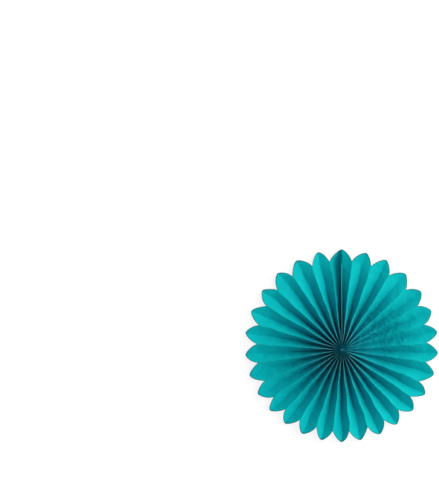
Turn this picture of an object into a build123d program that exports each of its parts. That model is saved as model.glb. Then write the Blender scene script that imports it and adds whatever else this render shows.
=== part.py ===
from build123d import *
from math import atan2, cos, hypot, pi, sin, sqrt, tan
import os

# Paper fan rosette: a long strip of thin coloured paper, pleated back and forth and
# opened to a full circle, lying on its back folds. The hub axis is Z, the outer lengths
# of the back folds touch Z = 0 and the seam, where the strip's two ends are joined,
# points along +Y. All lengths are millimetres.

# The pleated strip. petal_length runs from notch to tip, petal_bulge is how far a
# petal's side bows out, and notch_rise is a front fold's height where it ends.
petal_count = 28
tip_radius = 125.0
petal_length = 14.5
petal_bulge = 1.6
tip_rounding = 0.6
notch_rise = 8.1
hub_hole_radius = 2.2
paper_thickness = 0.12
crease_width = 0.2

# The pleats stand forward at the hub: all the folds rise by hub_rise from rise_reach
# inwards. Panels are set out in inner_steps within that reach and outer_steps beyond.
hub_rise = 8.0
rise_reach = 50.0
inner_steps = 2
outer_steps = 3

# The stiff rib at the seam: two cards, taped together, in the strip's two end panels.
# Nearer the hub than rib_start_radius the ends only pinch together, hub_gap apart.
rib_start_radius = 10.0
hub_gap = 0.02
card_thickness = 0.4
card_margin = 0.5
tape_thickness = 0.12
tape_width = 8.0
tape_margin = 5.0

# The binding thread through the pleats at the hub, in holes pierced by a six-sided awl
thread_diameter = 0.6
thread_ring_radius = 4.2
thread_clearance = 0.15
awl_sides = 6

# How far tools reach past the surfaces that they trim
overcut = 1.0

# Each petal is two panels either side of a back fold, which ends at the petal's tip.
# The front folds, halfway between, end at the notches.
half_pitch = pi / petal_count
notch_radius = tip_radius - petal_length
rib_half_gap = card_thickness + tape_thickness / 2


def chord(radius):
    """Straight distance from a back fold to the next front fold, seen from above."""
    return 2 * radius * sin(half_pitch / 2)


# A panel keeps its width all the way from the hub to the notch, so a front fold stands
# high at the hub, where the folds crowd together, and sinks as they spread.
pleat_depth = hypot(chord(notch_radius), notch_rise)


def front_fold_rise(radius):
    """Height of a front fold over the back folds. Past the notch it stays level."""
    return sqrt(pleat_depth**2 - chord(min(radius, notch_radius)) ** 2)


def fold_lift(radius):
    """Height of the back folds over the table."""
    return hub_rise * max(1 - radius / rise_reach, 0.0)


# Stations along the folds, where a panel's section is set out
stations = [hub_hole_radius, rib_start_radius]
for step in range(1, inner_steps + 1):
    stations.append(rib_start_radius + (rise_reach - rib_start_radius) * step / inner_steps)
for step in range(1, outer_steps + 1):
    stations.append(rise_reach + (notch_radius - rise_reach) * step / outer_steps)
stations.append(tip_radius + overcut)


def panel_section(radius, fold_shift=0.0, edge=None):
    """Section of a half petal at one station, from the back fold's middle to the next
    front fold's: the corners of its lower and of its upper face, as (distance across,
    height).

    Each crease is pressed flat over crease_width, and the panel's two faces meet it at
    a mitre, so the paper keeps its thickness at any slope. fold_shift moves the back
    fold aside, and edge is where the paper then ends."""
    rise = front_fold_rise(radius)
    across = chord(radius)
    half_crease = crease_width / 2
    slope = atan2(rise, across - fold_shift - crease_width)
    mitre = paper_thickness / 2 * tan(slope / 2)
    start = fold_shift if edge is None else edge
    wide = half_crease + mitre
    narrow = half_crease - mitre
    foot = fold_lift(radius)
    top = foot + rise
    lower = [(start, foot), (fold_shift + wide, foot), (across - narrow, top), (across, top)]
    upper = [(start, foot), (fold_shift + narrow, foot), (across - wide, top), (across, top)]
    return lower, [(s, z + paper_thickness) for s, z in upper]


def in_place(radius, corners):
    """Stands a section's corners in the upright plane through a petal's back fold, along
    +Y, and the front fold on its +X side."""
    run_x = cos(half_pitch / 2)
    run_y = -sin(half_pitch / 2)
    return [Vector(s * run_x, radius + s * run_y, z) for s, z in corners]


def flat_face(*corners):
    """One flat face with the given corners."""
    return Face(Wire.make_polygon(corners, close=True))


def folded_solid(sections):
    """Solid paper through successive sections. A panel twists between two stations, so
    each strip of it is two flat triangles, creased alike on both faces."""
    faces = []
    for lower, upper in (sections[0], sections[-1]):
        faces.append(flat_face(*lower, *reversed(upper)))
    for near, far in zip(sections, sections[1:]):
        for side in (0, 1):
            for i in range(len(near[side]) - 1):
                a, b, c, d = near[side][i], near[side][i + 1], far[side][i + 1], far[side][i]
                faces.append(flat_face(a, b, c))
                faces.append(flat_face(a, c, d))
        for end in (0, -1):
            faces.append(flat_face(near[0][end], far[0][end], far[1][end], near[1][end]))
    return Solid(Shell(faces))


def seam_edge(radius):
    """Distance from the seam's middle to the paper. The ends pinch together inside the
    rib, towards the hub."""
    share = (radius - hub_hole_radius) / (rib_start_radius - hub_hole_radius)
    return hub_gap / 2 + (rib_half_gap - hub_gap / 2) * min(share, 1.0)


# Everything beyond a petal's outline: two bowed sides that meet at the tip
with BuildSketch() as beyond_petal:
    notch_point = (notch_radius * sin(half_pitch), notch_radius * cos(half_pitch))
    tip_point = (0, tip_radius)
    outer_radius = tip_radius + 3 * overcut
    outer_angle = 2 * half_pitch
    with BuildLine():
        SagittaArc(tip_point, notch_point, petal_bulge)
        Polyline(
            notch_point,
            (outer_radius * sin(outer_angle), outer_radius * cos(outer_angle)),
            (0, outer_radius),
            tip_point,
        )
    make_face()
    mirror(about=Plane.YZ)
    tip = beyond_petal.vertices().sort_by_distance((0, tip_radius, 0))[0]
    fillet(tip, radius=tip_rounding)

# Where the binding thread pierces a petal's two panels, at half their depth
thread_height = fold_lift(thread_ring_radius) + (pleat_depth + paper_thickness) / 2
with BuildSketch(Plane.YZ) as thread_hole:
    with Locations((thread_ring_radius, thread_height)):
        RegularPolygon(thread_diameter / 2 + thread_clearance, awl_sides, major_radius=False)

# One petal: two panels, mirrored about their back fold
with BuildPart() as petal:
    add(folded_solid([[in_place(r, side) for side in panel_section(r)] for r in stations]))
    mirror(about=Plane.YZ)
    extrude(beyond_petal.sketch, amount=pleat_depth + overcut, mode=Mode.SUBTRACT)
    extrude(thread_hole.sketch, amount=overcut, both=True, mode=Mode.SUBTRACT)

# The strip's end panel, laid flat as (radius, height): its free edge is on top, and its
# outer end is cut as half a petal
rib_lift = fold_lift(rib_start_radius)
with BuildSketch() as end_panel:
    with BuildLine():
        SagittaArc((notch_radius, pleat_depth), (tip_radius, 0), petal_bulge)
        Polyline(
            (notch_radius, pleat_depth),
            (rise_reach, pleat_depth),
            (rib_start_radius, rib_lift + pleat_depth),
            (rib_start_radius, rib_lift),
            (rise_reach, 0),
            (tip_radius, 0),
        )
    make_face()

# Half of the seam petal: its panel comes down to a back fold beside the seam, and the
# strip's end panel stands up from that fold
seam_sections = []
for r in stations:
    edge = seam_edge(r) / cos(half_pitch / 2)
    fold_shift = edge + (paper_thickness + crease_width) / 2
    seam_sections.append([in_place(r, side) for side in panel_section(r, fold_shift, edge)])
with BuildPart() as seam_half:
    add(folded_solid(seam_sections))
    with BuildSketch(Plane.YZ.offset(rib_half_gap)):
        add(end_panel.sketch)
    extrude(amount=paper_thickness)
    extrude(beyond_petal.sketch, amount=pleat_depth + overcut, mode=Mode.SUBTRACT)
    extrude(thread_hole.sketch, amount=overcut, both=True, mode=Mode.SUBTRACT)

with BuildPart() as pleated_sheet:
    turn = 360 / petal_count
    with PolarLocations(0, petal_count - 1, start_angle=turn, angular_range=360 - turn):
        add(petal.part)
    add(seam_half.part)
    mirror(seam_half.part, about=Plane.YZ)

# Stiff card glued on each end panel, a little inside its edges
with BuildPart() as end_card_right:
    with BuildSketch(Plane.YZ.offset(tape_thickness / 2)):
        offset(end_panel.sketch, amount=-card_margin)
    extrude(amount=card_thickness)

with BuildPart() as end_card_left:
    mirror(end_card_right.part, about=Plane.YZ)

# Double-sided tape that holds the two cards together, along their straight outer length
with BuildPart() as adhesive_strip:
    tape_length = notch_radius - tape_margin - rise_reach
    with Locations((0, rise_reach + tape_length / 2, pleat_depth / 2)):
        Box(tape_thickness, tape_length, tape_width)

# The thread is pulled straight through each petal, and turns at the front folds between
with BuildPart() as thread_run:
    with BuildSketch(Plane.YZ):
        with Locations((thread_ring_radius, thread_height)):
            Circle(thread_diameter / 2)
    extrude(amount=thread_ring_radius * tan(half_pitch) + overcut, both=True)
    for side in (-1, 1):
        front_fold = Plane(origin=(0, 0, 0), z_dir=(side * cos(half_pitch), -sin(half_pitch), 0))
        split(bisect_by=front_fold, keep=Keep.BOTTOM)

with BuildPart() as hub_thread:
    with PolarLocations(0, petal_count):
        add(thread_run.part)

os.makedirs("parts", exist_ok=True)

pleated_sheet.part.label = "pleated_sheet"
export_step(pleated_sheet.part, "parts/pleated_sheet.step")

end_card_left.part.label = "end_card_left"
export_step(end_card_left.part, "parts/end_card_left.step")

end_card_right.part.label = "end_card_right"
export_step(end_card_right.part, "parts/end_card_right.step")

adhesive_strip.part.label = "adhesive_strip"
export_step(adhesive_strip.part, "parts/adhesive_strip.step")

hub_thread.part.label = "hub_thread"
export_step(hub_thread.part, "parts/hub_thread.step")
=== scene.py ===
"""Paper fan rosette: one long strip of dyed paper, pleated back and forth and opened to a
full circle, with a stiff rib at its seam and a thread through the pleats at its hub.

The rosette lies on its back folds on a white table. The hub axis is Z and the seam points
along +Y. All lengths are metres."""

import math

import bpy
from bpy.props import FloatProperty, FloatVectorProperty, IntProperty, PointerProperty
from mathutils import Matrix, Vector


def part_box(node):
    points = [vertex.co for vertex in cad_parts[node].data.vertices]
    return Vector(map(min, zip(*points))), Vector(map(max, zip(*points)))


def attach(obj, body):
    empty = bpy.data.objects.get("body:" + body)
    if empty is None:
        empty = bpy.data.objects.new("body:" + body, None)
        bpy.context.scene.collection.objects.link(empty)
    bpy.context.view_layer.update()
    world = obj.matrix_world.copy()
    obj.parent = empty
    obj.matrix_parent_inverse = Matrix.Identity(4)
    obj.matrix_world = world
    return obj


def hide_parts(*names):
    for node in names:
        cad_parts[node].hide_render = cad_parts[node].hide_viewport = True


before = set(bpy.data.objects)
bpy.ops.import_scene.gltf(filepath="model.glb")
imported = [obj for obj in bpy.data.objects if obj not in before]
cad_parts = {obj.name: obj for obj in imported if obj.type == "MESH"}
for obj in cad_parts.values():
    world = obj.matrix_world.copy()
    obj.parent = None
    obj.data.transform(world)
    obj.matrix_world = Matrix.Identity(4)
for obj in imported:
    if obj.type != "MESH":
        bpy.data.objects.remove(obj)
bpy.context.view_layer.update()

bl_info = {
    "name": "Paper Fan Rosette",
    "version": (1, 0, 0),
    "blender": (4, 5, 0),
    "location": "3D View > Sidebar > Rosette",
    "description": "Builds a pleated paper fan rosette, its seam rib, its hub thread and a studio",
    "category": "Add Mesh",
}

MM = 0.001
BODY = "root"

# Kinds of node and socket that are used often
MATH = "ShaderNodeMath"
VECTOR_MATH = "ShaderNodeVectorMath"
MAP_RANGE = "ShaderNodeMapRange"
MIX = "ShaderNodeMix"
NOISE = "ShaderNodeTexNoise"
BUMP = "ShaderNodeBump"
SET_POSITION = "GeometryNodeSetPosition"
FLOAT = "NodeSocketFloat"
INTEGER = "NodeSocketInt"
VECTOR = "NodeSocketVector"
GEOMETRY = "NodeSocketGeometry"
MATERIAL = "NodeSocketMaterial"

# The frame's own sizes, and the two of the paper's that its box doesn't give
paper_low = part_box("pleated_sheet")[0]
rib_low, rib_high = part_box("end_card_right")
thread_low, thread_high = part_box("hub_thread")
TIP_RADIUS = -paper_low.y
PAPER_THICKNESS = 0.12 * MM
PANEL_WIDTH = 14.8 * MM
THREAD_DIAMETER = thread_high.z - thread_low.z

# The paper's mesh: columns to a panel, rows from hub to rim, how far the columns crowd
# towards the folds, from 0 to 1, and how near to a fold, in panels, they count as on it
PANEL_COLUMNS = 8
PANEL_ROWS = 101
CROWDING = 0.9
ON_FOLD = 0.01

# A petal's outline: how its side bows, fullest a little nearer the notch below 1, how far
# its tip is blunted, as a share of a panel's width, and the seed of the uneven cutting
BOW_POWER = 0.7
TIP_BLUNTNESS = 0.2
CUT_SEED = 7

# Over what length along itself a fold wanders, how far apart in the noise two folds'
# wanderings are taken, and how steeply the paper lifts off the table towards the rim
WANDER_LENGTH = 25 * MM
WANDER_SPACING = 7.31
LIFT_POWER = 3.0

# Where a hand has pressed the front folds down beside the hub: the fold in the middle,
# counted clockwise from the seam, and its place along the strip. The press fades out
# between two distances from that fold, in folds. Along a fold it comes in and fades out
# again, each from one distance to another and from one share to another.
PRESSED_FOLD = 11.7
PRESSED_PLACE = 185 * MM
PRESS_FADE = (2.5, 7.5)
PRESS_REACH = ((5 * MM, 14 * MM, 0.5, 1.0), (25 * MM, 90 * MM, 1.0, 0.0))

# Where two hands held the fan to open it, along the strip from its right-hand end
FIRST_HOLD = 170 * MM
SECOND_HOLD = 566 * MM

# How much of the room that the cards keep between the strip's two ends is left where these
# pinch together: at the hub, until this share of the way to the cards, and beyond the
# cards, after this length
HUB_PINCH = 0.2
HUB_PINCH_REACH = 0.75
TIP_PINCH = 0.15
TIP_PINCH_LENGTH = 0.8 * MM

# The thread: steps round its ring, corners of its section, the section's mean radius as a
# share of the diameter, its plies, how far they bulge from the mean, and the angle left
# open where it is tied off
THREAD_STEPS = 260
THREAD_CORNERS = 15
THREAD_MEAN = 0.4
PLIES = 3.0
PLY_BULGE = 0.2
TIED_ANGLE = 0.02

# Inputs that the paper's tree hands on: the first of them to the tree of a fold's angle,
# and all of them to the tree of its points
ANGLE_INPUTS = {"Petals": FLOAT, "Pitch Swing": FLOAT, "Fold Jitter": FLOAT, "Seed": INTEGER}
POINT_INPUTS = dict.fromkeys(
    ("Panel Width", "Wander", "Lift", "Hub Rise", "Rise Reach", "Press"), FLOAT
)

# Where the photograph shows the rosette: its frame, the hub's pixel and the mean distance
# from the hub to the tips in pixels
PHOTO_SIZE = (439, 488)
HUB_PIXEL = (341.3, 349.3)
TIP_REACH_PIXELS = 96.2

# How far the camera sees, which is past the table's corners from any side
SIGHT = 20.0


def linear(code):
    """Linear colour of an sRGB hex value."""
    levels = [int(code[i : i + 2], 16) / 255 for i in (1, 3, 5)]
    return [c / 12.92 if c <= 0.04045 else ((c + 0.055) / 1.055) ** 2.4 for c in levels]


def add_node(tree, kind, inputs=(), **settings):
    """Adds a node with its settings, and its inputs as values or as sockets to link, listed
    in order or by name. Returns its outputs. A Map Range's inputs in order are the value,
    the range that it comes from and the range that it goes to."""
    added = tree.nodes.new(kind)
    for name, value in settings.items():
        setattr(added, name, value)
    for key, value in inputs.items() if isinstance(inputs, dict) else enumerate(inputs):
        if isinstance(value, bpy.types.NodeSocket):
            tree.links.new(value, added.inputs[key])
        elif value is not None:
            added.inputs[key].default_value = value
    return added.outputs


def new_shape_tree(name, takes, gives):
    """A Geometry Nodes tree with named inputs and outputs, and its input node's sockets."""
    tree = bpy.data.node_groups.new(name, "GeometryNodeTree")
    for direction, sockets in (("INPUT", takes), ("OUTPUT", gives)):
        for title, kind in sockets.items():
            tree.interface.new_socket(title, in_out=direction, socket_type=kind)
    return tree, add_node(tree, "NodeGroupInput")


def grow(name, tree, values, thickness=0.0):
    """Makes a plain mesh object from a Geometry Nodes tree and the values of its inputs,
    with the thickness of a sheet where one is given."""
    piece = bpy.data.objects.new(name, bpy.data.meshes.new(name))
    bpy.context.scene.collection.objects.link(piece)
    shape = piece.modifiers.new("shape", "NODES")
    shape.node_group = tree
    for socket in tree.interface.items_tree:
        if socket.in_out == "INPUT":
            shape[socket.identifier] = values[socket.name]
    if thickness:
        wall = piece.modifiers.new("wall", "SOLIDIFY")
        wall.thickness = thickness
        wall.offset = 0.0
    graph = bpy.context.evaluated_depsgraph_get()
    grown = bpy.data.meshes.new_from_object(piece.evaluated_get(graph))
    piece.modifiers.clear()
    piece.data = grown
    grown.name = name
    return piece


def new_material(name):
    """A material with only its principled shader and output, and the shader."""
    material = bpy.data.materials.new(name)
    material.use_nodes = True
    return material, material.node_tree.nodes["Principled BSDF"]


def seen_directly(tree):
    """1 for rays that show a surface to the camera, in a mirror or through glass, else 0."""
    ray = add_node(tree, "ShaderNodeLightPath")
    seen = ray["Is Camera Ray"]
    for other in ("Is Glossy Ray", "Is Transmission Ray"):
        seen = add_node(tree, MATH, [seen, ray[other]], operation="MAXIMUM")[0]
    return seen


def dyed_paper(colours):
    """Thin dyed craft paper, matt and faintly fibrous, and a little cloudy from its dyeing.
    It is painted darker and bluer towards the hub, as painted shade where its layers stand
    close. Its front creases are paler, partly rubbed and partly a painted highlight on their
    tops. Its scalloped edge is darker, and it is crumpled where hands held it."""
    material, shader = new_material("dyed craft paper")
    tree = material.node_tree
    flat = add_node(tree, "ShaderNodeUVMap", uv_map="UVMap")["UV"]
    fold = add_node(tree, "ShaderNodeAttribute", attribute_name="ridge")["Fac"]
    rim = add_node(tree, "ShaderNodeAttribute", attribute_name="rim")["Fac"]

    # Clouds of dye about 15 mm across, and fibres about 0.8 mm long, coarser than real
    clouds = add_node(tree, NOISE, {"Vector": flat, "Scale": 1 / (15 * MM), "Detail": 3.0})["Fac"]
    fibres = add_node(tree, NOISE, {"Vector": flat, "Scale": 1 / (0.8 * MM), "Detail": 2.0})["Fac"]
    shade = add_node(tree, MATH, [clouds, 0.16, 0.84], operation="MULTIPLY_ADD")[0]
    shade = add_node(tree, MATH, [fibres, 0.12, shade], operation="MULTIPLY_ADD")[0]
    # Painted shade: the colour goes from the darker, bluer hub colour out to the rim colour,
    # standing in for the shade between the close layers near the hub
    outward = add_node(tree, "ShaderNodeSeparateXYZ", [flat])["Y"]
    hub_shade_fade = add_node(tree, MATH, [outward, TIP_RADIUS], operation="DIVIDE")[0]
    hub_shade_fade = add_node(tree, MATH, [hub_shade_fade, 0.6], operation="POWER")[0]
    dye_and_shade = add_node(
        tree,
        MIX,
        {0: hub_shade_fade, 6: [*colours.paper_hub_painted_shade, 1.0], 7: [*colours.paper_rim, 1.0]},
        data_type="RGBA",
    )[2]

    # The scalloped edge is darker, over 2.2 mm
    on_rim = add_node(tree, MAP_RANGE, [rim, 0.7 * MM, 2.2 * MM, 0.5, 1.0])[0]
    shade = add_node(tree, MATH, [shade, on_rim], operation="MULTIPLY")[0]
    dye_and_shade = add_node(
        tree, MIX, {0: 1.0, 6: dye_and_shade, 7: shade}, data_type="RGBA", blend_type="MULTIPLY"
    )[2]

    # Paler within 0.5 mm of a front crease, from 6 mm to 60 mm out, but less where the pleats
    # are pressed down: partly rubbed wear and partly a painted highlight on the crease tops
    crease_reach = 1.0 - 0.5 * MM / PANEL_WIDTH
    wear_and_highlight = add_node(tree, MAP_RANGE, [fold, crease_reach, 1.0, 0.0, 1.0])[0]
    near_hub = add_node(tree, MAP_RANGE, [outward, 20 * MM, 60 * MM, 0.75, 0.0])[0]
    off_hub = add_node(tree, MAP_RANGE, [outward, 6 * MM, 15 * MM, 0.0, 1.0])[0]
    along_strip = add_node(tree, "ShaderNodeSeparateXYZ", [flat])["X"]
    off_press = add_node(tree, MATH, [along_strip, PRESSED_PLACE], operation="SUBTRACT")[0]
    off_press = add_node(tree, MATH, [off_press], operation="ABSOLUTE")[0]
    upright = add_node(tree, MAP_RANGE, [off_press, 30 * MM, 110 * MM, 0.3, 1.0])[0]
    for share in (upright, near_hub, off_hub):
        wear_and_highlight = add_node(tree, MATH, [wear_and_highlight, share], operation="MULTIPLY")[0]

    # The tied inner edge, up to 2.2 mm out, is a little paler too, and both are patchy
    on_eye = add_node(tree, MAP_RANGE, [outward, 1.2 * MM, 2.2 * MM, 0.4, 0.0])[0]
    wear_and_highlight = add_node(tree, MATH, [wear_and_highlight, on_eye], operation="MAXIMUM")[0]
    patchy = add_node(tree, MATH, [fibres, 0.4], operation="ADD")[0]
    wear_and_highlight = add_node(tree, MATH, [wear_and_highlight, patchy], operation="MULTIPLY")[0]
    colour = add_node(tree, MIX, {0: wear_and_highlight, 6: dye_and_shade, 7: [*colours.wear_and_highlight, 1.0]}, data_type="RGBA")[2]

    # Distance along the strip to the nearer of the two holds
    off_hold = along_strip
    for centre in ((SECOND_HOLD + FIRST_HOLD) / 2, (SECOND_HOLD - FIRST_HOLD) / 2):
        off_hold = add_node(tree, MATH, [off_hold, centre], operation="SUBTRACT")[0]
        off_hold = add_node(tree, MATH, [off_hold], operation="ABSOLUTE")[0]

    # Fibre tooth, and crumples about 8 mm apart, longer across the panels than along them.
    # They are deep within 90 mm of a hold, deepest at the first, and up to 98 mm out.
    held = add_node(tree, MAP_RANGE, [off_hold, 40 * MM, 90 * MM, 1.0, 0.15])[0]
    first = add_node(tree, MAP_RANGE, [along_strip, FIRST_HOLD, SECOND_HOLD, 1.0, 0.5])[0]
    inner = add_node(tree, MAP_RANGE, [outward, 66 * MM, 98 * MM, 1.0, 0.2])[0]
    for share in (first, inner):
        held = add_node(tree, MATH, [held, share], operation="MULTIPLY")[0]
    spot = add_node(tree, VECTOR_MATH, [flat, (0.6, 1, 1)], operation="MULTIPLY")[0]
    crumples = add_node(
        tree, NOISE, {"Vector": spot, "Scale": 1 / (8 * MM), "Detail": 1.7, "Distortion": 0.8}
    )["Fac"]
    tooth = add_node(tree, BUMP, {"Strength": 0.4, "Distance": 0.02 * MM, "Height": fibres})[0]
    relief = add_node(
        tree, BUMP, {"Strength": held, "Distance": 3.0 * MM, "Height": crumples, "Normal": tooth}
    )[0]
    rough = add_node(tree, MAP_RANGE, [fibres, 0.0, 1.0, 0.66, 0.82])[0]
    tree.links.new(colour, shader.inputs["Base Color"])
    tree.links.new(rough, shader.inputs["Roughness"])
    tree.links.new(relief, shader.inputs["Normal"])
    shader.inputs["Specular IOR Level"].default_value = 0.05
    return material


def dyed_card(colours):
    """Dyed card, cut with a guillotine: matt and fibrous. Its edge is painted darker and
    greyer towards the hub, as painted shade that matches the shaded pleats there."""
    material, shader = new_material("dyed card")
    tree = material.node_tree
    place = add_node(tree, "ShaderNodeTexCoord")["Object"]
    fibres = add_node(
        tree, NOISE, {"Vector": place, "Scale": 1 / (1.2 * MM), "Detail": 4.0}
    )["Fac"]
    outward = add_node(tree, "ShaderNodeSeparateXYZ", [place])["Y"]
    # Painted shade: darker and greyer within 40 mm of the hub, the card's own colour from 80 mm
    # out
    card_unshaded_share = add_node(tree, MAP_RANGE, [outward, 40 * MM, 80 * MM, 0.0, 1.0])[0]
    dye_and_shade = add_node(
        tree,
        MIX,
        {0: card_unshaded_share, 6: [*colours.card_hub_painted_shade, 1.0], 7: [*colours.card, 1.0]},
        data_type="RGBA",
    )[2]
    shade = add_node(tree, MATH, [fibres, 0.5, 0.75], operation="MULTIPLY_ADD")[0]
    colour = add_node(
        tree, MIX, {0: 1.0, 6: dye_and_shade, 7: shade}, data_type="RGBA", blend_type="MULTIPLY"
    )[2]
    tooth = add_node(tree, BUMP, {"Strength": 0.5, "Distance": 0.05 * MM, "Height": fibres})[0]
    tree.links.new(colour, shader.inputs["Base Color"])
    tree.links.new(tooth, shader.inputs["Normal"])
    shader.inputs["Roughness"].default_value = 0.85
    shader.inputs["Specular IOR Level"].default_value = 0.25
    return material


def acrylic_tape():
    """Clear double-sided acrylic tape, pressed flat: smooth, with faint trapped air."""
    material, shader = new_material("acrylic tape")
    tree = material.node_tree
    place = add_node(tree, "ShaderNodeTexCoord")["Object"]
    air = add_node(tree, NOISE, {"Vector": place, "Scale": 1 / (3 * MM), "Detail": 1.0})["Fac"]
    colour = add_node(
        tree,
        MIX,
        {0: air, 6: [*linear("#C9CCC4"), 1.0], 7: [*linear("#E4E6DF"), 1.0]},
        data_type="RGBA",
    )[2]
    tree.links.new(colour, shader.inputs["Base Color"])
    shader.inputs["Roughness"].default_value = 0.3
    shader.inputs["IOR"].default_value = 1.47
    return material


def cotton_thread(colours):
    """Dyed cotton sewing thread: matt, soft, with fine fibres along its twist."""
    material, shader = new_material("cotton thread")
    tree = material.node_tree
    place = add_node(tree, "ShaderNodeTexCoord")["Object"]
    fibres = add_node(
        tree, NOISE, {"Vector": place, "Scale": 1 / (0.15 * MM), "Detail": 2.0}
    )["Fac"]
    colour = add_node(
        tree,
        MIX,
        {0: fibres, 6: [*colours.thread_dark, 1.0], 7: [*colours.thread_light, 1.0]},
        data_type="RGBA",
    )[2]
    tooth = add_node(tree, BUMP, {"Strength": 0.6, "Distance": 0.02 * MM, "Height": fibres})[0]
    tree.links.new(colour, shader.inputs["Base Color"])
    tree.links.new(tooth, shader.inputs["Normal"])
    shader.inputs["Roughness"].default_value = 0.9
    shader.inputs["Sheen Weight"].default_value = 0.3
    return material


def fold_angle_tree():
    """Angle of a fold about the hub, clockwise from the seam. Folds are numbered round the
    circle from 0, and back folds are even. The strip's free edges, one before the first
    fold and one after the last, stand over the seam's own back folds."""
    takes = {"Fold": FLOAT, **ANGLE_INPUTS}
    tree, given = new_shape_tree("Fold angle", takes, {"Angle": FLOAT, "Free": FLOAT})
    last = add_node(tree, MATH, [given["Petals"], 2.0], operation="MULTIPLY")[0]
    fold = add_node(tree, "ShaderNodeClamp", [given["Fold"], 0.0, last])[0]
    half_turn = add_node(tree, MATH, [math.pi, given["Petals"]], operation="DIVIDE")[0]
    regular = add_node(tree, MATH, [fold, half_turn], operation="MULTIPLY")[0]

    # The seam's folds stay where the rib holds them
    from_end = add_node(tree, MATH, [last, fold], operation="SUBTRACT")[0]
    nearest = add_node(tree, MATH, [fold, from_end], operation="MINIMUM")[0]
    free = add_node(tree, "ShaderNodeClamp", [nearest, 0.0, 1.0])[0]

    swing = add_node(tree, MATH, [regular], operation="SINE")[0]
    swung = add_node(
        tree, MATH, [swing, given["Pitch Swing"], regular], operation="MULTIPLY_ADD"
    )[0]
    drawn = add_node(
        tree,
        "FunctionNodeRandomValue",
        {2: -1.0, 3: 1.0, "ID": given["Fold"], "Seed": given["Seed"]},
        data_type="FLOAT",
    )[1]
    jitter = add_node(tree, MATH, [given["Fold Jitter"], free], operation="MULTIPLY")[0]
    angle = add_node(tree, MATH, [drawn, jitter, swung], operation="MULTIPLY_ADD")[0]
    add_node(tree, "NodeGroupOutput", [angle, free])
    return tree


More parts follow.
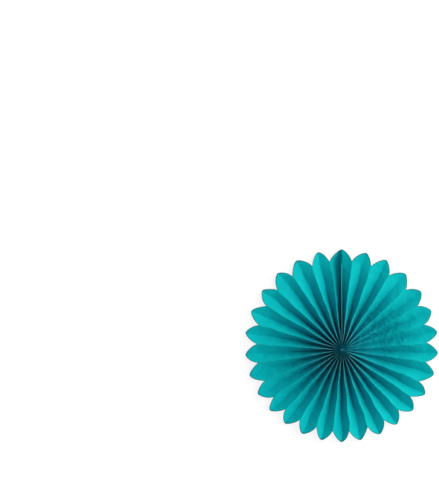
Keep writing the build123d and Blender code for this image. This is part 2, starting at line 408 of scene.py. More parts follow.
def fold_point_tree(fold_angle):
    """A point of a fold at a distance from the hub. A panel keeps its width all the way, so
    a front fold stands high where the folds crowd together and sinks as they spread."""
    takes = dict.fromkeys(("Fold", "Radius", "Notch Radius", "Seam Gap"), FLOAT)
    takes = {**takes, **ANGLE_INPUTS, **POINT_INPUTS}
    tree, given = new_shape_tree("Fold point", takes, {"Point": VECTOR})
    shared = {name: given[name] for name in ANGLE_INPUTS}
    angles = []
    for step in (-1.0, 0.0, 1.0):
        fold = add_node(tree, MATH, [given["Fold"], step], operation="ADD")[0]
        angles.append(
            add_node(tree, "GeometryNodeGroup", {"Fold": fold, **shared}, node_tree=fold_angle)
        )
    free = angles[1]["Free"]

    # Folds wander a little sideways, each in its own way
    along = add_node(tree, MATH, [given["Radius"], WANDER_LENGTH], operation="DIVIDE")[0]
    own = add_node(tree, MATH, [given["Fold"], WANDER_SPACING], operation="MULTIPLY")[0]
    spot = add_node(tree, "ShaderNodeCombineXYZ", [own, along])[0]
    noise = add_node(
        tree, NOISE, {"Vector": spot, "Scale": 1.0, "Detail": 1.0}, noise_dimensions="2D"
    )[0]
    sway = add_node(tree, MATH, [noise, 0.5], operation="SUBTRACT")[0]
    sway = add_node(tree, MATH, [sway, free], operation="MULTIPLY")[0]
    angle = add_node(
        tree, MATH, [sway, given["Wander"], angles[1]["Angle"]], operation="MULTIPLY_ADD"
    )[0]

    # Height of a front fold, from its panels' width and the mean chord to its neighbours.
    # Past the notches it stays level.
    spread = add_node(
        tree, MATH, [angles[2]["Angle"], angles[0]["Angle"]], operation="SUBTRACT"
    )[0]
    inside = add_node(tree, MATH, [given["Radius"], given["Notch Radius"]], operation="MINIMUM")[0]
    chord = add_node(tree, MATH, [spread, inside], operation="MULTIPLY")[0]
    chord = add_node(tree, MATH, [chord, 0.5], operation="MULTIPLY")[0]
    slope = add_node(tree, MATH, [chord, given["Panel Width"]], operation="DIVIDE")[0]
    slope = add_node(tree, MATH, [slope], operation="ARCCOSINE")[0]
    slope = add_node(tree, MATH, [slope], operation="SINE")[0]
    rise = add_node(tree, MATH, [slope, given["Panel Width"]], operation="MULTIPLY")[0]

    # The hand that held the fan open has pressed its front folds down on one side, less at
    # the thread and not at all near the rim
    off_press = add_node(tree, MATH, [given["Fold"], PRESSED_FOLD], operation="SUBTRACT")[0]
    off_press = add_node(tree, MATH, [off_press], operation="ABSOLUTE")[0]
    pressed = add_node(
        tree,
        MAP_RANGE,
        [off_press, *PRESS_FADE, given["Press"], 0.0],
        interpolation_type="SMOOTHSTEP",
    )[0]
    for reach in PRESS_REACH:
        share = add_node(
            tree, MAP_RANGE, [given["Radius"], *reach], interpolation_type="SMOOTHSTEP"
        )[0]
        pressed = add_node(tree, MATH, [pressed, share], operation="MULTIPLY")[0]
    unpressed = add_node(tree, MATH, [1.0, pressed], operation="SUBTRACT")[0]
    rise = add_node(tree, MATH, [rise, unpressed], operation="MULTIPLY")[0]

    # Back folds lie on the table. Towards the rim they lift off it, some twice as far as
    # others.
    drawn = add_node(
        tree,
        "FunctionNodeRandomValue",
        {2: 0.5, 3: 1.0, "ID": given["Fold"], "Seed": given["Seed"]},
        data_type="FLOAT",
    )[1]
    lift = add_node(tree, MATH, [given["Radius"], given["Notch Radius"]], operation="DIVIDE")[0]
    lift = add_node(tree, MATH, [lift, LIFT_POWER], operation="POWER")[0]
    for share in (given["Lift"], drawn, free):
        lift = add_node(tree, MATH, [lift, share], operation="MULTIPLY")[0]
    front = add_node(tree, MATH, [given["Fold"], 2.0], operation="FLOORED_MODULO")[0]
    height = add_node(tree, MIX, {0: front, 2: lift, 3: rise}, data_type="FLOAT")[0]

    # All the folds rise together towards the hub
    inward = add_node(tree, MAP_RANGE, [given["Radius"], 0.0, given["Rise Reach"], 1.0, 0.0])[0]
    height = add_node(tree, MATH, [inward, given["Hub Rise"], height], operation="MULTIPLY_ADD")[0]

    # The seam's folds and free edges stand aside from its middle, half of them either side
    last = add_node(tree, MATH, [given["Petals"], 2.0], operation="MULTIPLY")[0]
    near_end = add_node(tree, MATH, [last, 0.5], operation="SUBTRACT")[0]
    right = add_node(tree, MATH, [given["Fold"], 0.5], operation="LESS_THAN")[0]
    left = add_node(tree, MATH, [given["Fold"], near_end], operation="GREATER_THAN")[0]
    side = add_node(tree, MATH, [right, left], operation="SUBTRACT")[0]
    aside = add_node(tree, MATH, [side, given["Seam Gap"]], operation="MULTIPLY")[0]

    sine = add_node(tree, MATH, [angle], operation="SINE")[0]
    cosine = add_node(tree, MATH, [angle], operation="COSINE")[0]
    x = add_node(tree, MATH, [sine, given["Radius"], aside], operation="MULTIPLY_ADD")[0]
    y = add_node(tree, MATH, [cosine, given["Radius"]], operation="MULTIPLY")[0]
    point = add_node(tree, "ShaderNodeCombineXYZ", [x, y, height])[0]
    add_node(tree, "NodeGroupOutput", [point])
    return tree


def pleated_paper_tree():
    """The whole strip: a grid whose columns run along the folds and whose rows run round the
    hub, cut to the petals' outline, folded up and then wrinkled."""
    outline = ("Tip Radius", "Petal Length", "Petal Bulge", "Reach Swing", "Tip Jitter")
    inner_end = ("Hub Radius", "Seam Gap", "Rib Start", "Rib End")
    surface = ("Crease Width", "Wrinkle Depth", "Wrinkle Length")
    takes = {
        **ANGLE_INPUTS,
        **POINT_INPUTS,
        **dict.fromkeys(outline + inner_end + surface, FLOAT),
        **dict.fromkeys(("Petals", "Columns", "Rows"), INTEGER),
        "Material": MATERIAL,
    }
    tree, given = new_shape_tree("Pleated paper", takes, {"Geometry": GEOMETRY})
    fold_angle = fold_angle_tree()
    fold_point = fold_point_tree(fold_angle)

    # The flat strip, one unit to a panel across and one unit from the hub to the rim. Across
    # it, places count the folds, and its free edges are at -1 and one past the last.
    last = add_node(tree, MATH, [given["Petals"], 2.0], operation="MULTIPLY")[0]
    panels = add_node(tree, MATH, [last, 2.0], operation="ADD")[0]
    columns = add_node(tree, MATH, [panels, given["Columns"], 1.0], operation="MULTIPLY_ADD")[0]
    strip = add_node(tree, "GeometryNodeMeshGrid", [panels, 1.0, columns, given["Rows"]])[0]
    place = add_node(tree, "GeometryNodeInputPosition")[0]
    centred = add_node(tree, "ShaderNodeSeparateXYZ", [place])
    across = add_node(tree, MATH, [centred["X"], given["Petals"]], operation="ADD")[0]
    outward = add_node(tree, MATH, [centred["Y"], 0.5], operation="ADD")[0]

    # The fold before this column, and how far the column is on its way to the next fold.
    # Columns crowd towards the folds, which keeps the creases crisp.
    snapped = add_node(tree, MATH, [across, ON_FOLD], operation="ADD")[0]
    floor = add_node(tree, MATH, [snapped], operation="FLOOR")[0]
    fold = add_node(tree, MATH, [floor, last], operation="MINIMUM")[0]
    next_fold = add_node(tree, MATH, [fold, 1.0], operation="ADD")[0]
    way = add_node(tree, MATH, [across, fold], operation="SUBTRACT")[0]
    way = add_node(tree, "ShaderNodeClamp", [way, 0.0, 1.0])[0]
    turn = add_node(tree, MATH, [way, 2 * math.pi], operation="MULTIPLY")[0]
    wave = add_node(tree, MATH, [turn], operation="SINE")[0]
    crowd = -CROWDING / (2 * math.pi)
    part = add_node(tree, MATH, [wave, crowd, way], operation="MULTIPLY_ADD")[0]

    # How near this column is to a tip: 1 on a back fold and 0 on a front fold
    front = add_node(tree, MATH, [fold, 2.0], operation="FLOORED_MODULO")[0]
    rest = add_node(tree, MATH, [1.0, part], operation="SUBTRACT")[0]
    tipward = add_node(tree, MIX, {0: front, 2: rest, 3: part}, data_type="FLOAT")[0]
    frontward = add_node(tree, MATH, [1.0, tipward], operation="SUBTRACT")[0]

    # The same, with the tip blunted, for the outline
    blunt = add_node(
        tree, MATH, [frontward, frontward, TIP_BLUNTNESS**2], operation="MULTIPLY_ADD"
    )[0]
    blunt = add_node(tree, MATH, [blunt], operation="SQRT")[0]
    blunt = add_node(
        tree, MAP_RANGE, [blunt, TIP_BLUNTNESS, math.hypot(1.0, TIP_BLUNTNESS), 0.0, 1.0]
    )[0]
    pointed = add_node(tree, MATH, [1.0, blunt], operation="SUBTRACT")[0]

    # The petals' outline: notch, bowed side and tip. The bow is 1 in the middle of a side.
    # The strip reaches a little further on the seam's side of the hub, and its tips are not
    # all cut alike.
    shared = {name: given[name] for name in ANGLE_INPUTS}
    angles = []
    cuts = []
    free = []
    for number in (fold, next_fold):
        turned = add_node(
            tree, "GeometryNodeGroup", {"Fold": number, **shared}, node_tree=fold_angle
        )
        drawn = add_node(
            tree,
            "FunctionNodeRandomValue",
            {2: -1.0, 3: 1.0, "ID": number, "Seed": CUT_SEED},
            data_type="FLOAT",
        )
        angles.append(turned["Angle"])
        cuts.append(drawn[1])
        free.append(turned["Free"])
    angle = add_node(tree, MIX, {0: part, 2: angles[0], 3: angles[1]}, data_type="FLOAT")[0]
    cut = add_node(tree, MIX, {0: part, 2: cuts[0], 3: cuts[1]}, data_type="FLOAT")[0]
    cosine = add_node(tree, MATH, [angle], operation="COSINE")[0]
    reach = add_node(
        tree, MATH, [cosine, given["Reach Swing"], given["Tip Radius"]], operation="MULTIPLY_ADD"
    )[0]
    reach = add_node(tree, MATH, [cut, given["Tip Jitter"], reach], operation="MULTIPLY_ADD")[0]
    notch = add_node(tree, MATH, [reach, given["Petal Length"]], operation="SUBTRACT")[0]
    rim = add_node(
        tree, MATH, [pointed, given["Petal Length"], notch], operation="MULTIPLY_ADD"
    )[0]
    bow = add_node(tree, MATH, [pointed, BOW_POWER], operation="POWER")[0]
    bow = add_node(tree, MATH, [bow, blunt], operation="MULTIPLY")[0]
    bow = add_node(tree, MATH, [bow, 2.0 ** (1.0 + BOW_POWER)], operation="MULTIPLY")[0]
    rim = add_node(tree, MATH, [bow, given["Petal Bulge"], rim], operation="MULTIPLY_ADD")[0]
    length = add_node(tree, MATH, [rim, given["Hub Radius"]], operation="SUBTRACT")[0]
    radius = add_node(
        tree, MATH, [outward, length, given["Hub Radius"]], operation="MULTIPLY_ADD"
    )[0]

    # Measures taken from the flat strip, for the wrinkles and for the paper's material. The
    # end panels, glued to their cards, have no front fold.
    unglued = add_node(tree, MIX, {0: part, 2: free[0], 3: free[1]}, data_type="FLOAT")[0]
    ridge = add_node(tree, MATH, [frontward, unglued], operation="MULTIPLY")[0]
    along = add_node(tree, MATH, [fold, part], operation="ADD")[0]
    along = add_node(tree, MATH, [along, 1.0], operation="ADD")[0]
    along = add_node(tree, MATH, [along, given["Panel Width"]], operation="MULTIPLY")[0]
    sheet = add_node(tree, "ShaderNodeCombineXYZ", [along, radius])[0]
    from_rim = add_node(tree, MATH, [rim, radius], operation="SUBTRACT")[0]
    marked = strip
    for name, value, kind, domain in (
        ("ridge", ridge, "FLOAT", "POINT"),
        ("rim", from_rim, "FLOAT", "POINT"),
        ("sheet", sheet, "FLOAT_VECTOR", "POINT"),
        ("UVMap", sheet, "FLOAT2", "CORNER"),
    ):
        marked = add_node(
            tree,
            "GeometryNodeStoreNamedAttribute",
            {"Geometry": marked, "Name": name, "Value": value},
            data_type=kind,
            domain=domain,
        )[0]

    # The two ends pinch together between the hub and the rib, and beyond the cards
    opened = add_node(tree, MATH, [radius, given["Rib Start"]], operation="DIVIDE")[0]
    opened = add_node(tree, MAP_RANGE, [opened, HUB_PINCH_REACH, 1.0, HUB_PINCH, 1.0])[0]
    gap = add_node(tree, MATH, [opened, given["Seam Gap"]], operation="MULTIPLY")[0]
    beyond = add_node(tree, MATH, [radius, given["Rib End"]], operation="SUBTRACT")[0]
    carded = add_node(tree, MAP_RANGE, [beyond, 0.0, TIP_PINCH_LENGTH, 1.0, TIP_PINCH])[0]
    gap = add_node(tree, MATH, [gap, carded], operation="MULTIPLY")[0]

    # Each panel spans its two folds
    sizes = {**shared, "Radius": radius, "Notch Radius": notch, "Seam Gap": gap}
    sizes.update({name: given[name] for name in POINT_INPUTS})
    ends = []
    for number in (fold, next_fold):
        end = add_node(tree, "GeometryNodeGroup", {"Fold": number, **sizes}, node_tree=fold_point)
        ends.append(end[0])
    point = add_node(tree, MIX, {0: part, 4: ends[0], 5: ends[1]}, data_type="VECTOR")[1]

    # A crease is pressed flat over its width, or over half the way between two folds where
    # they crowd together
    step = add_node(tree, VECTOR_MATH, [ends[1], ends[0]], operation="SUBTRACT")[0]
    step = add_node(tree, VECTOR_MATH, [step, (1, 1, 0)], operation="MULTIPLY")[0]
    chord = add_node(tree, VECTOR_MATH, [step], operation="LENGTH")["Value"]
    sideways = add_node(tree, VECTOR_MATH, [step], operation="NORMALIZE")[0]
    room = add_node(tree, MATH, [chord, 0.25], operation="MULTIPLY")[0]
    half_crease = add_node(tree, MATH, [given["Crease Width"], 0.5], operation="MULTIPLY")[0]
    land = add_node(tree, MATH, [room, half_crease], operation="MINIMUM")[0]
    slide = add_node(tree, MATH, [part, -2.0, 1.0], operation="MULTIPLY_ADD")[0]
    slide = add_node(tree, MATH, [slide, land], operation="MULTIPLY")[0]
    off_middle = add_node(tree, MATH, [way, 0.5], operation="SUBTRACT")[0]
    off_middle = add_node(tree, MATH, [off_middle], operation="ABSOLUTE")[0]
    on_panel = add_node(tree, MATH, [off_middle, 0.5 - ON_FOLD], operation="LESS_THAN")[0]
    slide = add_node(tree, MATH, [slide, on_panel], operation="MULTIPLY")[0]
    shift = add_node(tree, VECTOR_MATH, {0: sideways, "Scale": slide}, operation="SCALE")[0]
    folded = add_node(
        tree, SET_POSITION, {"Geometry": marked, "Position": point, "Offset": shift}
    )[0]

    # Handling wrinkles across the panels. They fade out over a seventh of a panel beside the
    # stiff creases, and from 50 mm to 10 mm out.
    on_sheet = add_node(
        tree, "GeometryNodeInputNamedAttribute", ["sheet"], data_type="FLOAT_VECTOR"
    )[0]
    on_ridge = add_node(tree, "GeometryNodeInputNamedAttribute", ["ridge"], data_type="FLOAT")[0]
    spot = add_node(tree, VECTOR_MATH, [on_sheet, (0.5, 1, 1)], operation="MULTIPLY")[0]
    fine = add_node(tree, MATH, [1.0, given["Wrinkle Length"]], operation="DIVIDE")[0]
    wrinkle = add_node(
        tree, NOISE, {"Vector": spot, "Scale": fine, "Detail": 2.0, "Distortion": 0.6}
    )[0]
    wrinkle = add_node(tree, MATH, [wrinkle, 0.5], operation="SUBTRACT")[0]
    off_ridge = add_node(tree, MATH, [1.0, on_ridge], operation="SUBTRACT")[0]
    window = add_node(tree, MATH, [on_ridge, off_ridge], operation="MULTIPLY")[0]
    window = add_node(tree, MATH, [window, 8.0], operation="MULTIPLY")[0]
    window = add_node(tree, "ShaderNodeClamp", [window, 0.0, 1.0])[0]
    sheet_y = add_node(tree, "ShaderNodeSeparateXYZ", [on_sheet])["Y"]
    clear = add_node(tree, MAP_RANGE, [sheet_y, 10 * MM, 50 * MM, 0.0, 1.0])[0]
    for share in (window, clear, given["Wrinkle Depth"]):
        wrinkle = add_node(tree, MATH, [wrinkle, share], operation="MULTIPLY")[0]
    normal = add_node(tree, "GeometryNodeInputNormal")[0]
    dent = add_node(tree, VECTOR_MATH, {0: normal, "Scale": wrinkle}, operation="SCALE")[0]
    wrinkled = add_node(tree, SET_POSITION, {"Geometry": folded, "Offset": dent})[0]
    smooth = add_node(tree, "GeometryNodeSetShadeSmooth", [wrinkled])[0]
    real = add_node(tree, "GeometryNodeRealizeInstances", [smooth])[0]
    painted = add_node(
        tree, "GeometryNodeSetMaterial", {"Geometry": real, "Material": given["Material"]}
    )[0]
    add_node(tree, "NodeGroupOutput", [painted])
    return tree


def twisted_thread_tree():
    """A thread of three twisted plies, laid in a ring that is tied off at the seam."""
    takes = {
        "Ring Radius": FLOAT,
        "Height": FLOAT,
        "Diameter": FLOAT,
        "Twists": FLOAT,
        "Material": MATERIAL,
    }
    tree, given = new_shape_tree("Twisted thread", takes, {"Geometry": GEOMETRY})
    ring = add_node(
        tree,
        "GeometryNodeCurveArc",
        {
            "Resolution": THREAD_STEPS,
            "Radius": given["Ring Radius"],
            "Start Angle": math.pi / 2,
            "Sweep Angle": 2 * math.pi - TIED_ANGLE,
        },
        mode="RADIUS",
    )[0]
    along = add_node(tree, "GeometryNodeSplineParameter")["Factor"]
    tilt = add_node(tree, MATH, [along, given["Twists"]], operation="MULTIPLY")[0]
    tilt = add_node(tree, MATH, [tilt, 2 * math.pi], operation="MULTIPLY")[0]
    twisted = add_node(tree, "GeometryNodeSetCurveTilt", {"Curve": ring, "Tilt": tilt})[0]

    # Section: the plies, as a circle pressed in between them
    half = add_node(tree, MATH, [given["Diameter"], THREAD_MEAN], operation="MULTIPLY")[0]
    section = add_node(
        tree,
        "GeometryNodeCurvePrimitiveCircle",
        {"Resolution": THREAD_CORNERS, "Radius": half},
        mode="RADIUS",
    )[0]
    place = add_node(tree, "GeometryNodeInputPosition")[0]
    spot = add_node(tree, "ShaderNodeSeparateXYZ", [place])
    turn = add_node(tree, MATH, [spot["Y"], spot["X"]], operation="ARCTAN2")[0]
    lobe = add_node(tree, MATH, [turn, PLIES], operation="MULTIPLY")[0]
    lobe = add_node(tree, MATH, [lobe], operation="COSINE")[0]
    lobe = add_node(tree, MATH, [lobe, PLY_BULGE], operation="MULTIPLY")[0]
    press = add_node(tree, VECTOR_MATH, {0: place, "Scale": lobe}, operation="SCALE")[0]
    section = add_node(tree, SET_POSITION, {"Geometry": section, "Offset": press})[0]
    thread = add_node(
        tree,
        "GeometryNodeCurveToMesh",
        {"Curve": twisted, "Profile Curve": section, "Fill Caps": True},
    )[0]
    level = add_node(tree, "ShaderNodeCombineXYZ", {"Z": given["Height"]})[0]
    raised = add_node(tree, "GeometryNodeTransform", {"Geometry": thread, "Translation": level})[0]
    smooth = add_node(tree, "GeometryNodeSetShadeSmooth", [raised])[0]
    real = add_node(tree, "GeometryNodeRealizeInstances", [smooth])[0]
    painted = add_node(
        tree, "GeometryNodeSetMaterial", {"Geometry": real, "Material": given["Material"]}
    )[0]
    add_node(tree, "NodeGroupOutput", [painted])
    return tree


class RosettePaper(bpy.types.PropertyGroup):
    """The pleated sheet's sizes and colours"""

    petals: IntProperty(
        name="Petals", description="Petals round the rosette", default=28, min=8, max=60
    )
    tip_radius: FloatProperty(
        name="Tip radius", description="Hub to petal tip", default=TIP_RADIUS, unit="LENGTH"
    )
    petal_length: FloatProperty(
        name="Petal length", description="Notch to tip", default=14.5 * MM, unit="LENGTH"
    )
    petal_bulge: FloatProperty(
        name="Petal bulge",
        description="How far a petal's side bows outwards, measured along the radius",
        default=1.7 * MM,
        unit="LENGTH",
    )
    hub_radius: FloatProperty(
        name="Hub radius", description="Eye left at the hub", default=0.6 * MM, unit="LENGTH"
    )
    panel_width: FloatProperty(
        name="Panel width", description="Fold to fold", default=PANEL_WIDTH, unit="LENGTH"
    )
    crease_width: FloatProperty(
        name="Crease width",
        description="Width of a pressed crease",
        default=0.1 * MM,
        unit="LENGTH",
    )
    pitch_swing: FloatProperty(
        name="Pitch swing",
        description="How far the folds crowd away from the seam",
        default=math.radians(2.7),
        subtype="ANGLE",
    )
    reach_swing: FloatProperty(
        name="Reach swing",
        description="Extra reach on the seam's side of the hub",
        default=4.9 * MM,
        unit="LENGTH",
    )
    fold_jitter: FloatProperty(
        name="Fold jitter",
        description="Uneven folding",
        default=math.radians(0.6),
        subtype="ANGLE",
    )
    tip_jitter: FloatProperty(
        name="Tip jitter", description="Uneven cutting", default=0.5 * MM, unit="LENGTH"
    )
    wander: FloatProperty(
        name="Wander",
        description="Waviness of a fold",
        default=math.radians(2.5),
        subtype="ANGLE",
    )
    lift: FloatProperty(
        name="Lift", description="Most that a petal lifts", default=3.2 * MM, unit="LENGTH"
    )
    hub_rise: FloatProperty(
        name="Hub rise",
        description="How far the folds rise to the hub",
        default=8 * MM,
        unit="LENGTH",
    )
    rise_reach: FloatProperty(
        name="Rise reach", description="Where the rise starts", default=50 * MM, unit="LENGTH"
    )
    press: FloatProperty(
        name="Press",
        description="How far a hand has pressed the pleats down on one side of the hub",
        default=0.65,
        subtype="FACTOR",
    )
    wrinkle_depth: FloatProperty(
        name="Wrinkle depth", description="Depth of wrinkles", default=1.8 * MM, unit="LENGTH"
    )
    wrinkle_length: FloatProperty(
        name="Wrinkle length", description="Spacing of wrinkles", default=9 * MM, unit="LENGTH"
    )
    seed: IntProperty(name="Seed", description="Changes the unevenness", default=4)
    paper_rim: FloatVectorProperty(
        name="Paper at the rim",
        description="Dye, one layer",
        subtype="COLOR",
        default=linear("#00AEB1"),
    )
    # Painted shade: the darker, bluer colour near the hub stands in for the shade between the
    # close layers there
    paper_hub_painted_shade: FloatVectorProperty(
        name="Paper at the hub",
        description="Dye, close layers",
        subtype="COLOR",
        default=linear("#066F88"),
    )
    # Paler colour of the creases and the tied inner edge: partly rubbed wear, partly a painted
    # highlight on the crease tops
    wear_and_highlight: FloatVectorProperty(
        name="Worn paper",
        description="Rubbed creases and tied inner edge",
        subtype="COLOR",
        default=linear("#93D2D1"),
    )


class RosetteRib(bpy.types.PropertyGroup):
    """The seam rib's colours"""

    card: FloatVectorProperty(
        name="Card", description="Dyed card", subtype="COLOR", default=linear("#47CACC")
    )
    # Painted shade: the card's colour near the hub, darker and greyer to match the shaded pleats
    # there
    card_hub_painted_shade: FloatVectorProperty(
        name="Card, greyed",
        description="Handled card",
        subtype="COLOR",
        default=linear("#56767F"),
    )


class RosetteThread(bpy.types.PropertyGroup):
    """The hub thread's sizes and colours"""

    diameter: FloatProperty(
        name="Diameter", description="Thread diameter", default=THREAD_DIAMETER, unit="LENGTH"
    )
    twists: IntProperty(name="Twists", description="Turns round the ring", default=16)
    thread_light: FloatVectorProperty(
        name="Thread, light",
        description="Light fibres",
        subtype="COLOR",
        default=linear("#2FA09E"),
    )
    thread_dark: FloatVectorProperty(
        name="Thread, dark",
        description="Dark fibres",
        subtype="COLOR",
        default=linear("#1B7B7E"),
    )


class RosetteStudio(bpy.types.PropertyGroup):
    """The table, lights and camera"""

    table: FloatVectorProperty(
        name="Table", description="Table top", subtype="COLOR", default=linear("#FDFDFD")
    )
    table_width: FloatProperty(
        name="Table width", description="Side of the table top", default=8.0, unit="LENGTH"
    )
    camera_height: FloatProperty(
        name="Camera height", description="Camera above the table", default=3.0, unit="LENGTH"
    )
    backdrop_glow: FloatProperty(
        name="Backdrop glow",
        description="How much of the table's shading is hidden",
        default=0.85,
        subtype="FACTOR",
    )
    azimuth: FloatProperty(
        name="Azimuth",
        description="Where the lights stand, clockwise from the seam",
        default=math.radians(70),
        subtype="ANGLE",
    )
    soft_box: FloatProperty(name="Soft box", description="Strength of the soft box", default=3.5)
    soft_box_spread: FloatProperty(
        name="Soft box spread",
        description="Its angle across",
        default=math.radians(80),
        subtype="ANGLE",
    )
    soft_box_elevation: FloatProperty(
        name="Soft box elevation",
        description="Its height over the table",
        default=math.radians(25),
        subtype="ANGLE",
    )
    key: FloatProperty(name="Key light", description="Strength of the key light", default=0.7)
    key_spread: FloatProperty(
        name="Key spread",
        description="Its angle across",
        default=math.radians(15),
        subtype="ANGLE",
    )
    key_elevation: FloatProperty(
        name="Key elevation",
        description="Its height over the table",
        default=math.radians(45),
        subtype="ANGLE",
    )
    light_colour: FloatVectorProperty(
        name="Light colour", description="Both lights", subtype="COLOR", default=(1.0, 1.0, 0.87)
    )
    fill_high: FloatVectorProperty(
        name="Fill overhead", description="Soft light", subtype="COLOR", default=(0.37, 0.37, 0.54)
    )
    fill_low: FloatVectorProperty(
        name="Fill low down", description="Soft light", subtype="COLOR", default=(1.2, 1.2, 0.62)
    )


def setting_names(settings):
    """Names of a property group's own settings."""
    return [name for name in settings.bl_rna.properties.keys() if name not in {"rna_type", "name"}]


def tree_values(settings):
    """A property group's values by the names that a tree's inputs have."""
    names = setting_names(settings)
    return {name.replace("_", " ").title(): getattr(settings, name) for name in names}


class ROSETTE_OT_pleated_paper(bpy.types.Operator):
    """Build the pleated paper and its two end panels, which stand up at the seam"""

    bl_idname = "rosette.pleated_paper"
    bl_label = "Pleated paper"

    def execute(self, context):
        sizes = context.scene.rosette_paper
        values = {
            **tree_values(sizes),
            "Seam Gap": rib_high.x + PAPER_THICKNESS / 2,
            "Rib Start": rib_low.y,
            "Rib End": rib_high.y,
            "Columns": PANEL_COLUMNS,
            "Rows": PANEL_ROWS,
            "Material": dyed_paper(sizes),
        }
        sheet = grow("pleated_paper", pleated_paper_tree(), values, PAPER_THICKNESS)

        # The paper's underside lies on the table, and not its middle
        for corner in sheet.data.vertices:
            corner.co.z += PAPER_THICKNESS / 2
        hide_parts("pleated_sheet")
        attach(sheet, BODY)

        return {"FINISHED"}


class ROSETTE_OT_seam_rib(bpy.types.Operator):
    """Finish the two cards at the seam and the tape between them"""

    bl_idname = "rosette.seam_rib"
    bl_label = "Seam rib"

    def execute(self, context):
        card = dyed_card(context.scene.rosette_rib)
        finishes = {
            "end_card_left": card,
            "end_card_right": card,
            "adhesive_strip": acrylic_tape(),
        }
        for name, material in finishes.items():
            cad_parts[name].material_slots[0].material = material
        return {"FINISHED"}


class ROSETTE_OT_hub_thread(bpy.types.Operator):
    """Build the thread that binds the pleats at the hub"""

    bl_idname = "rosette.hub_thread"
    bl_label = "Hub thread"

    def execute(self, context):
        sizes = context.scene.rosette_thread
        values = {
            **tree_values(sizes),
            "Ring Radius": thread_high.x - sizes.diameter / 2,
            "Height": (thread_low.z + thread_high.z) / 2,
            "Material": cotton_thread(sizes),
        }
        thread = grow("binding_thread", twisted_thread_tree(), values)
        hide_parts("hub_thread")
        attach(thread, BODY)
        return {"FINISHED"}


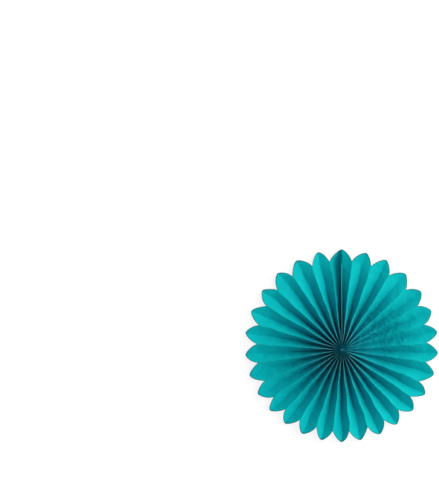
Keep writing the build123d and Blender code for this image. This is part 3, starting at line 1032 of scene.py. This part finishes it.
class ROSETTE_OT_studio(bpy.types.Operator):
    """Lay the white table, and place the lights and the camera straight above"""

    bl_idname = "rosette.studio"
    bl_label = "Studio"

    def execute(self, context):
        studio = context.scene.rosette_studio
        scene = context.scene
        scene.view_settings.view_transform = "Standard"

        # The table is plain white melamine, matt and even, and far wider than the view
        half = studio.table_width / 2
        corners = [(-half, -half, 0), (half, -half, 0), (half, half, 0), (-half, half, 0)]
        mesh = bpy.data.meshes.new("table")
        mesh.from_pydata(corners, [], [(0, 1, 2, 3)])
        table = bpy.data.objects.new("table", mesh)
        scene.collection.objects.link(table)
        white, shader = new_material("white melamine")
        shader.inputs["Base Color"].default_value = [*studio.table, 1.0]
        shader.inputs["Roughness"].default_value = 0.9
        shader.inputs["Specular IOR Level"].default_value = 0.1
        tree = white.node_tree
        output = tree.nodes["Material Output"]
        seen = seen_directly(tree)
        share = add_node(tree, MATH, [seen, studio.backdrop_glow], operation="MULTIPLY")[0]
        glow = add_node(tree, "ShaderNodeEmission", [(1, 1, 1, 1), 1.0])[0]
        mixed = add_node(tree, "ShaderNodeMixShader", [share, shader.outputs[0], glow])[0]
        tree.links.new(mixed, output.inputs["Surface"])
        mesh.materials.append(white)

        # A soft fill from all round: cool overhead, and brighter and warmer low down. The
        # camera sees it as white.
        world = bpy.data.worlds.new("studio")
        scene.world = world
        world.use_nodes = True
        tree = world.node_tree
        tree.nodes.clear()
        towards = add_node(tree, "ShaderNodeTexCoord")["Generated"]
        height = add_node(tree, "ShaderNodeSeparateXYZ", [towards])["Z"]
        low = add_node(tree, MAP_RANGE, [height, 0.0, 1.0, 1.0, 0.0])[0]
        low = add_node(tree, MATH, [low, 3.0], operation="POWER")[0]
        fill = add_node(
            tree,
            MIX,
            {0: low, 6: [*studio.fill_high, 1.0], 7: [*studio.fill_low, 1.0]},
            data_type="RGBA",
        )[2]
        seen = seen_directly(tree)
        colour = add_node(tree, MIX, {0: seen, 6: fill, 7: (1, 1, 1, 1)}, data_type="RGBA")[2]
        glow = add_node(tree, "ShaderNodeBackground", [colour, 1.0])[0]
        add_node(tree, "ShaderNodeOutputWorld", [glow])

        # Two far lights to the right of the picture: a very large soft box low down, and a
        # smaller one above it
        azimuth = studio.azimuth
        for name, strength, spread, elevation in (
            ("soft_box", studio.soft_box, studio.soft_box_spread, studio.soft_box_elevation),
            ("key", studio.key, studio.key_spread, studio.key_elevation),
        ):
            lamp = bpy.data.lights.new(name, "SUN")
            lamp.energy = strength
            lamp.angle = spread
            lamp.color = studio.light_colour
            light = bpy.data.objects.new(name, lamp)
            scene.collection.objects.link(light)
            level = math.cos(elevation)
            towards = Vector(
                (math.sin(azimuth) * level, math.cos(azimuth) * level, math.sin(elevation))
            )
            light.rotation_euler = towards.to_track_quat("Z", "Y").to_euler()

        # The camera looks straight down with a long lens, over the middle of the picture,
        # so that the rosette lies at the lower right as in the photograph
        metres_per_pixel = TIP_RADIUS / TIP_REACH_PIXELS
        camera = bpy.data.cameras.new("camera")
        camera.sensor_width = 36.0
        camera.lens = (
            camera.sensor_width * studio.camera_height / (PHOTO_SIZE[1] * metres_per_pixel)
        )
        camera.clip_end = SIGHT
        eye = bpy.data.objects.new("camera", camera)
        scene.collection.objects.link(eye)
        eye.location = (
            (PHOTO_SIZE[0] / 2 - HUB_PIXEL[0]) * metres_per_pixel,
            (HUB_PIXEL[1] - PHOTO_SIZE[1] / 2) * metres_per_pixel,
            studio.camera_height,
        )
        scene.camera = eye
        return {"FINISHED"}


class ROSETTE_PT_panel(bpy.types.Panel):
    """Lists the rosette's pieces and their settings"""

    bl_label = "Paper fan rosette"
    bl_space_type = "VIEW_3D"
    bl_region_type = "UI"
    bl_category = "Rosette"

    def draw(self, context):
        for operator, settings in PIECES:
            box = self.layout.box()
            box.operator(operator.bl_idname)
            group = getattr(context.scene, settings)
            for name in setting_names(group):
                box.prop(group, name)


GROUPS = {
    "rosette_paper": RosettePaper,
    "rosette_rib": RosetteRib,
    "rosette_thread": RosetteThread,
    "rosette_studio": RosetteStudio,
}
PIECES = (
    (ROSETTE_OT_pleated_paper, "rosette_paper"),
    (ROSETTE_OT_seam_rib, "rosette_rib"),
    (ROSETTE_OT_hub_thread, "rosette_thread"),
    (ROSETTE_OT_studio, "rosette_studio"),
)


def register():
    for name, group in GROUPS.items():
        bpy.utils.register_class(group)
        setattr(bpy.types.Scene, name, PointerProperty(type=group))
    for operator, _ in PIECES:
        bpy.utils.register_class(operator)
    bpy.utils.register_class(ROSETTE_PT_panel)


def unregister():
    bpy.utils.unregister_class(ROSETTE_PT_panel)
    for operator, _ in PIECES:
        bpy.utils.unregister_class(operator)
    for name, group in GROUPS.items():
        delattr(bpy.types.Scene, name)
        bpy.utils.unregister_class(group)


def main():
    """Builds everything."""
    register()
    bpy.ops.rosette.pleated_paper()
    bpy.ops.rosette.seam_rib()
    bpy.ops.rosette.hub_thread()
    bpy.ops.rosette.studio()


if __name__ == "__main__":
    main()
